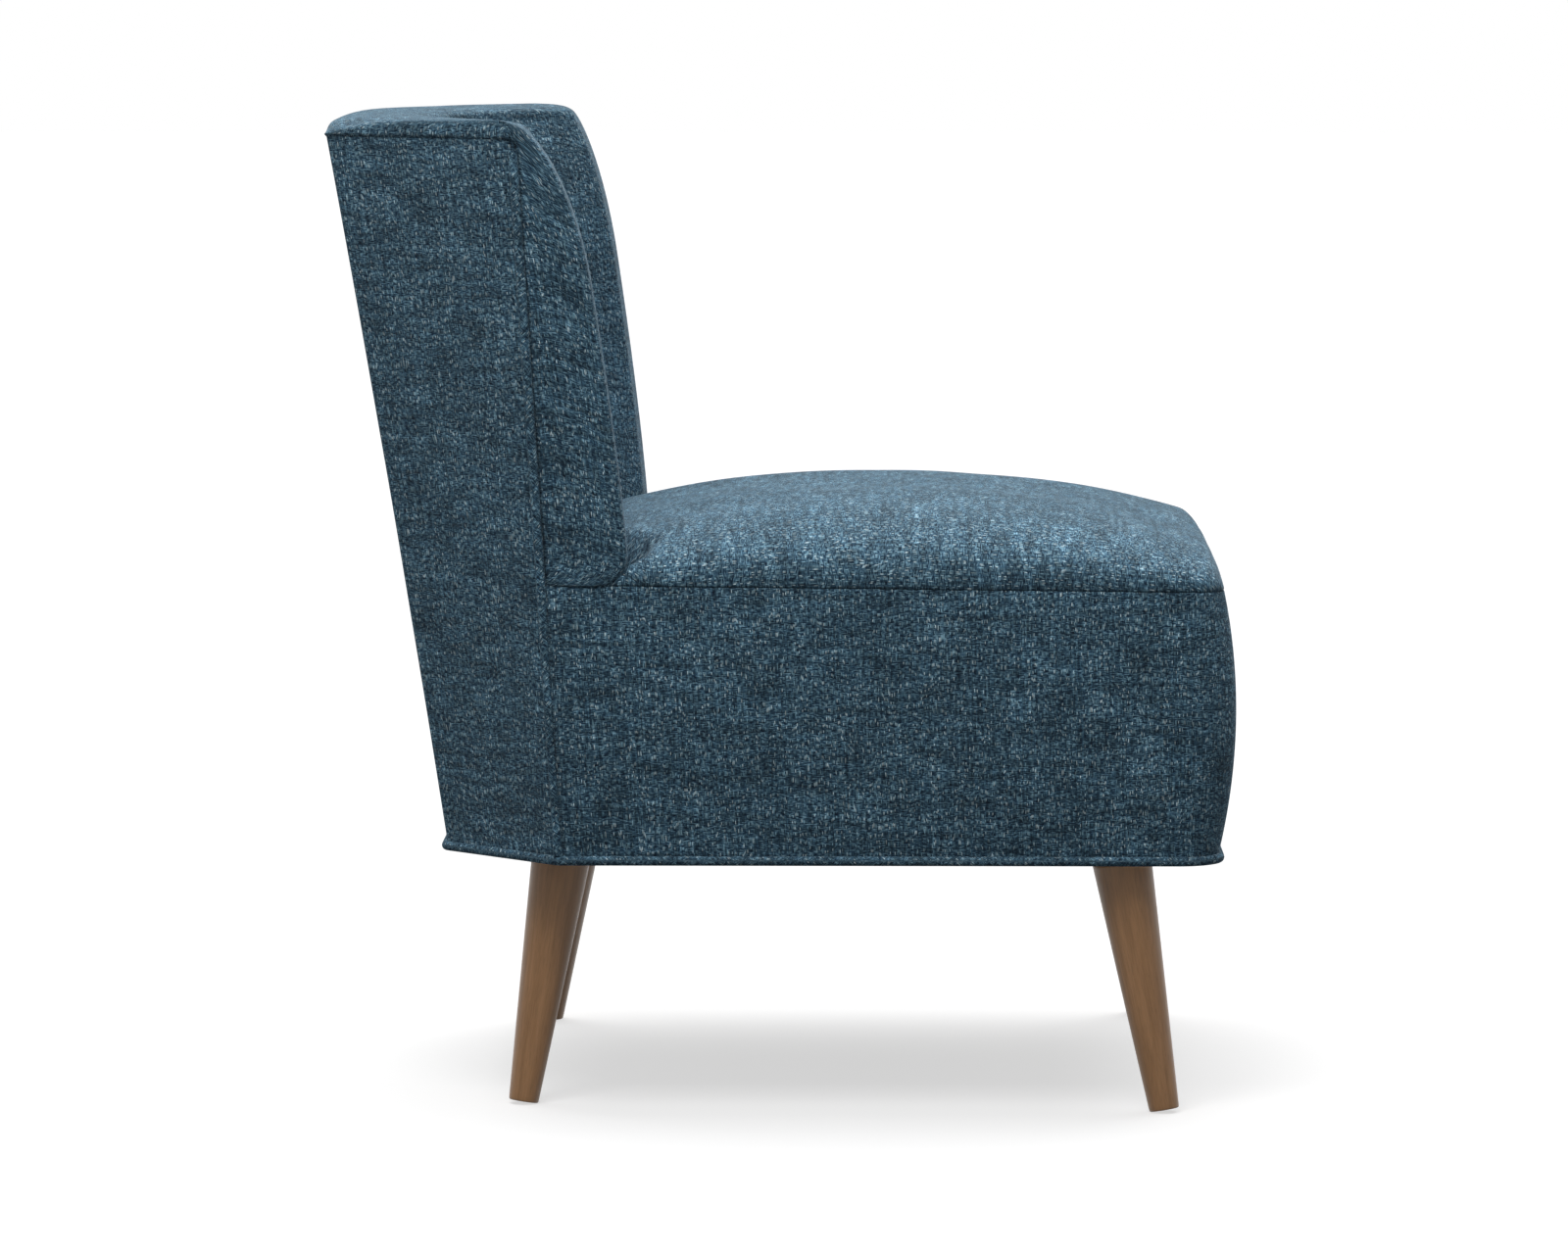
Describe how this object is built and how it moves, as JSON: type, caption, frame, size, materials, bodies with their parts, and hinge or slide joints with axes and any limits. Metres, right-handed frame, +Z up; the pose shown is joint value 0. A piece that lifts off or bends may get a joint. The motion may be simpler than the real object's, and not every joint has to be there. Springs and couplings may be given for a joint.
{
  "type": "armless barrel-back lounge chair",
  "caption": "Armless upholstered lounge chair with a curved barrel back, a tight domed seat and splayed tapered wooden legs; it seats one person.",
  "frame": {"origin": "floor point under the middle of the chair's bounding box", "axes": "+Z up, -Y the way a sitter faces, +X the sitter's left"},
  "size_m": [0.635, 0.76, 0.825],
  "materials": {
    "cover_fabric": "navy and teal flecked chenille",
    "dust_cloth": "black spunbonded cloth",
    "leg_wood": "walnut stain, satin lacquer",
    "plated_steel": "zinc plated",
    "webbing": "woven elastic strap",
    "foam": "open-cell foam",
    "felt": "needled felt and fibre padding",
    "panel_board": "grey-brown upholstery board",
    "plywood": "raw plywood",
    "frame_timber": "raw hardwood"
  },
  "bodies": {
    "root": {"back_base_rail": "frame_timber", "back_foam": "foam", "back_lumbar_rail": "frame_timber", "back_strap_1": "webbing", "back_strap_2": "webbing", "back_strap_3": "webbing", "base_welt": "cover_fabric", "border_padding": "felt", "cross_strap_1": "webbing", "cross_strap_2": "webbing", "cross_strap_3": "webbing", "cross_strap_4": "webbing", "deck_rail": "frame_timber", "dust_cover": "dust_cloth", "front_rail": "frame_timber", "hanger_bolts": "plated_steel", "inside_back_cover": "cover_fabric", "left_base_rail": "frame_timber", "left_front_corner_block": "frame_timber", "left_front_leg": "leg_wood", "left_front_leg_plate": "plated_steel", "left_lumbar_rail": "frame_timber", "left_rear_corner_block": "frame_timber", "left_rear_leg": "leg_wood", "left_rear_leg_plate": "plated_steel", "left_rear_post": "frame_timber", "left_side_board": "panel_board", "left_side_cover": "cover_fabric", "left_side_rail": "frame_timber", "left_wing_post": "frame_timber", "left_wing_strap": "webbing", "left_wing_welt": "cover_fabric", "outside_back_board": "panel_board", "outside_back_cover": "cover_fabric", "right_base_rail": "frame_timber", "right_front_corner_block": "frame_timber", "right_front_leg": "leg_wood", "right_front_leg_plate": "plated_steel", "right_lumbar_rail": "frame_timber", "right_rear_corner_block": "frame_timber", "right_rear_leg": "leg_wood", "right_rear_leg_plate": "plated_steel", "right_rear_post": "frame_timber", "right_side_board": "panel_board", "right_side_cover": "cover_fabric", "right_side_rail": "frame_timber", "right_wing_post": "frame_timber", "right_wing_strap": "webbing", "right_wing_welt": "cover_fabric", "seat_border_cover": "cover_fabric", "seat_felt": "felt", "seat_foam": "foam", "seat_strap_1": "webbing", "seat_strap_2": "webbing", "seat_strap_3": "webbing", "seat_strap_4": "webbing", "seat_top_cover": "cover_fabric", "top_plate": "plywood"}
  },
  "joints": []
}
